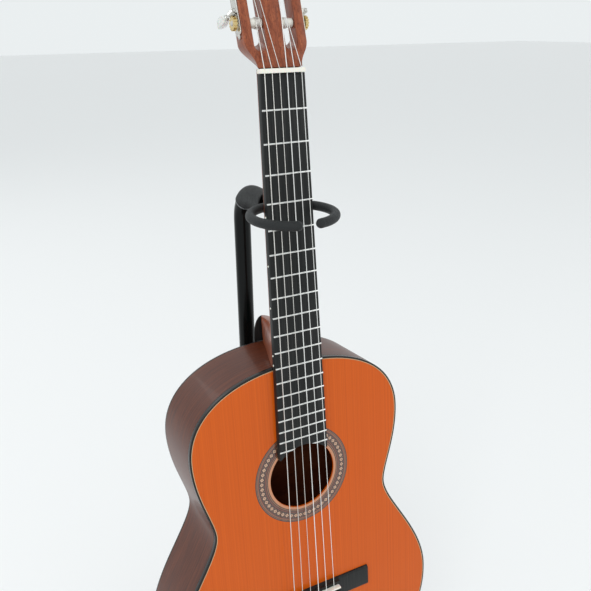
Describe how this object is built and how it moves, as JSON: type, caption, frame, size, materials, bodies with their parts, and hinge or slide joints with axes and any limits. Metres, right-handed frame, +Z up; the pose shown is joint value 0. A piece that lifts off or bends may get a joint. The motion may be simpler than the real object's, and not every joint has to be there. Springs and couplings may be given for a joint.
{
  "type": "guitar on stand",
  "caption": "Classical nylon-string guitar resting in a black tubular floor stand with folding legs, a padded cradle and a neck ring.",
  "frame": {"origin": "on the floor, below the middle of the whole", "axes": "+Z up, the guitar's front faces -Y, its treble side is towards +X"},
  "size_m": [0.4744, 0.5064, 1.1909],
  "materials": {
    "top_wood": "high-gloss amber lacquer over straight grain",
    "side_wood": "high-gloss dark red-brown lacquer",
    "neck_wood": "satin to gloss reddish-brown",
    "dark_wood": "nearly black, open-grained, oiled",
    "lining_wood": "bare pale wood inside the body",
    "black_binding": "gloss black",
    "white_bone": "polished white",
    "string_nylon": "clear and silver-wound nylon",
    "nickel_plate": "nickel plate",
    "white_roller": "white roller on a plated axle with a brass gear",
    "pearl_button": "pearly grey-white",
    "black_tube": "semi-gloss black paint on steel tube",
    "cast_black": "satin black casting",
    "black_foam": "matte charcoal foam rubber",
    "foot_rubber": "matte black rubber",
    "zinc_pin": "zinc-plated",
    "knob_plastic": "fine-grained black"
  },
  "bodies": {
    "stand": {"hub": "cast_black", "post_lower": "black_tube", "clamp_collar": "cast_black", "cradle_arm_left": "black_tube", "cradle_arm_right": "black_tube", "cradle_pad_left": "black_foam", "cradle_pad_right": "black_foam", "leg_pin_front_left": "zinc_pin", "leg_pin_front_right": "zinc_pin", "leg_pin_rear": "zinc_pin"},
    "upper_post": {"post_upper": "black_tube", "bend_sleeve": "black_foam", "ring_block": "cast_black"},
    "arm_left": {"ring_arm_left": "black_foam"},
    "arm_right": {"ring_arm_right": "black_foam"},
    "knob": {"clamp_knob": "knob_plastic"},
    "guitar": {"soundboard": "top_wood", "back": "side_wood", "rib_bass": "side_wood", "rib_treble": "side_wood", "binding_top": "black_binding", "lining_top": "lining_wood", "lining_back": "lining_wood", "neck_block": "lining_wood", "tail_block": "lining_wood", "brace_upper": "lining_wood", "brace_lower": "lining_wood", "neck": "neck_wood", "heel_cap": "dark_wood", "headstock": "neck_wood", "fingerboard": "dark_wood", "nut": "white_bone", "saddle": "white_bone", "bridge": "dark_wood", "tuner_plate_bass": "nickel_plate", "tuner_plate_treble": "nickel_plate", "string_1": "string_nylon", "string_2": "string_nylon", "string_3": "string_nylon", "string_4": "string_nylon", "string_5": "string_nylon", "string_6": "string_nylon"},
    "leg_front_left": {"leg_front_left": "black_tube", "foot_front_left": "foot_rubber"},
    "leg_front_right": {"leg_front_right": "black_tube", "foot_front_right": "foot_rubber"},
    "leg_rear": {"leg_rear": "black_tube", "foot_rear": "foot_rubber"},
    "button_1": {"tuner_button_1": "pearl_button"},
    "roller_1": {"roller_1": "white_roller"},
    "button_2": {"tuner_button_2": "pearl_button"},
    "roller_2": {"roller_2": "white_roller"},
    "button_3": {"tuner_button_3": "pearl_button"},
    "roller_3": {"roller_3": "white_roller"},
    "button_4": {"tuner_button_4": "pearl_button"},
    "roller_4": {"roller_4": "white_roller"},
    "button_5": {"tuner_button_5": "pearl_button"},
    "roller_5": {"roller_5": "white_roller"},
    "button_6": {"tuner_button_6": "pearl_button"},
    "roller_6": {"roller_6": "white_roller"}
  },
  "joints": [
    {"name": "post_height", "type": "slide", "parent": "stand", "child": "upper_post", "axis": [0, 0, 1], "range_m": [-0.05, 0]},
    {"name": "arm_left_swing", "type": "hinge", "parent": "upper_post", "child": "arm_left", "pos_m": [0, -0.1462, 0.86602], "axis": [0, 0, -1], "range_deg": [0, 25]},
    {"name": "arm_right_swing", "type": "hinge", "parent": "upper_post", "child": "arm_right", "pos_m": [0, -0.1462, 0.86602], "axis": [0, 0, 1], "range_deg": [0, 25]},
    {"name": "guitar_lift", "type": "slide", "parent": "stand", "child": "guitar", "axis": [0, 0.0924, 0.9957], "range_m": [0, 0.05]},
    {"name": "clamp_knob_turn", "type": "hinge", "parent": "stand", "child": "knob", "pos_m": [0, -0.0218, 0.563], "axis": [0, 1, 0], "continuous": true},
    {"name": "leg_front_left_fold", "type": "hinge", "parent": "stand", "child": "leg_front_left", "pos_m": [-0.02605, -0.07365, 0.172], "axis": [0.6428, -0.766, 0], "range_deg": [0, 52]},
    {"name": "leg_front_right_fold", "type": "hinge", "parent": "stand", "child": "leg_front_right", "pos_m": [0.02605, -0.07365, 0.172], "axis": [0.6428, 0.766, 0], "range_deg": [0, 52]},
    {"name": "leg_rear_fold", "type": "hinge", "parent": "stand", "child": "leg_rear", "pos_m": [0, -0.0178, 0.172], "axis": [-1, 0, 0], "range_deg": [0, 52]},
    {"name": "button_1_turn", "type": "hinge", "parent": "guitar", "child": "button_1", "pos_m": [0.04535, -0.13292, 1.06843], "axis": [0, 0.9438, -0.3305], "continuous": true},
    {"name": "roller_1_turn", "type": "hinge", "parent": "guitar", "child": "roller_1", "pos_m": [0.0223, -0.13656, 1.05805], "axis": [1, 0, 0], "continuous": true},
    {"name": "button_2_turn", "type": "hinge", "parent": "guitar", "child": "button_2", "pos_m": [0.04535, -0.12135, 1.10147], "axis": [0, 0.9438, -0.3305], "continuous": true},
    {"name": "roller_2_turn", "type": "hinge", "parent": "guitar", "child": "roller_2", "pos_m": [0.0223, -0.12499, 1.09109], "axis": [1, 0, 0], "continuous": true},
    {"name": "button_3_turn", "type": "hinge", "parent": "guitar", "child": "button_3", "pos_m": [0.04535, -0.10979, 1.1345], "axis": [0, 0.9438, -0.3305], "continuous": true},
    {"name": "roller_3_turn", "type": "hinge", "parent": "guitar", "child": "roller_3", "pos_m": [0.0223, -0.11342, 1.12412], "axis": [1, 0, 0], "continuous": true},
    {"name": "button_4_turn", "type": "hinge", "parent": "guitar", "child": "button_4", "pos_m": [-0.03675, -0.10979, 1.1345], "axis": [0, 0.9438, -0.3305], "continuous": true},
    {"name": "roller_4_turn", "type": "hinge", "parent": "guitar", "child": "roller_4", "pos_m": [-0.0137, -0.11342, 1.12412], "axis": [1, 0, 0], "continuous": true},
    {"name": "button_5_turn", "type": "hinge", "parent": "guitar", "child": "button_5", "pos_m": [-0.03675, -0.12135, 1.10147], "axis": [0, 0.9438, -0.3305], "continuous": true},
    {"name": "roller_5_turn", "type": "hinge", "parent": "guitar", "child": "roller_5", "pos_m": [-0.0137, -0.12499, 1.09109], "axis": [1, 0, 0], "continuous": true},
    {"name": "button_6_turn", "type": "hinge", "parent": "guitar", "child": "button_6", "pos_m": [-0.03675, -0.13292, 1.06843], "axis": [0, 0.9438, -0.3305], "continuous": true},
    {"name": "roller_6_turn", "type": "hinge", "parent": "guitar", "child": "roller_6", "pos_m": [-0.0137, -0.13656, 1.05805], "axis": [1, 0, 0], "continuous": true}
  ],
  "couplings": [
    {"joint": "roller_1_turn", "follows": "button_1_turn", "ratio": 0.071429},
    {"joint": "roller_2_turn", "follows": "button_2_turn", "ratio": 0.071429},
    {"joint": "roller_3_turn", "follows": "button_3_turn", "ratio": 0.071429},
    {"joint": "roller_4_turn", "follows": "button_4_turn", "ratio": 0.071429},
    {"joint": "roller_5_turn", "follows": "button_5_turn", "ratio": 0.071429},
    {"joint": "roller_6_turn", "follows": "button_6_turn", "ratio": 0.071429}
  ]
}
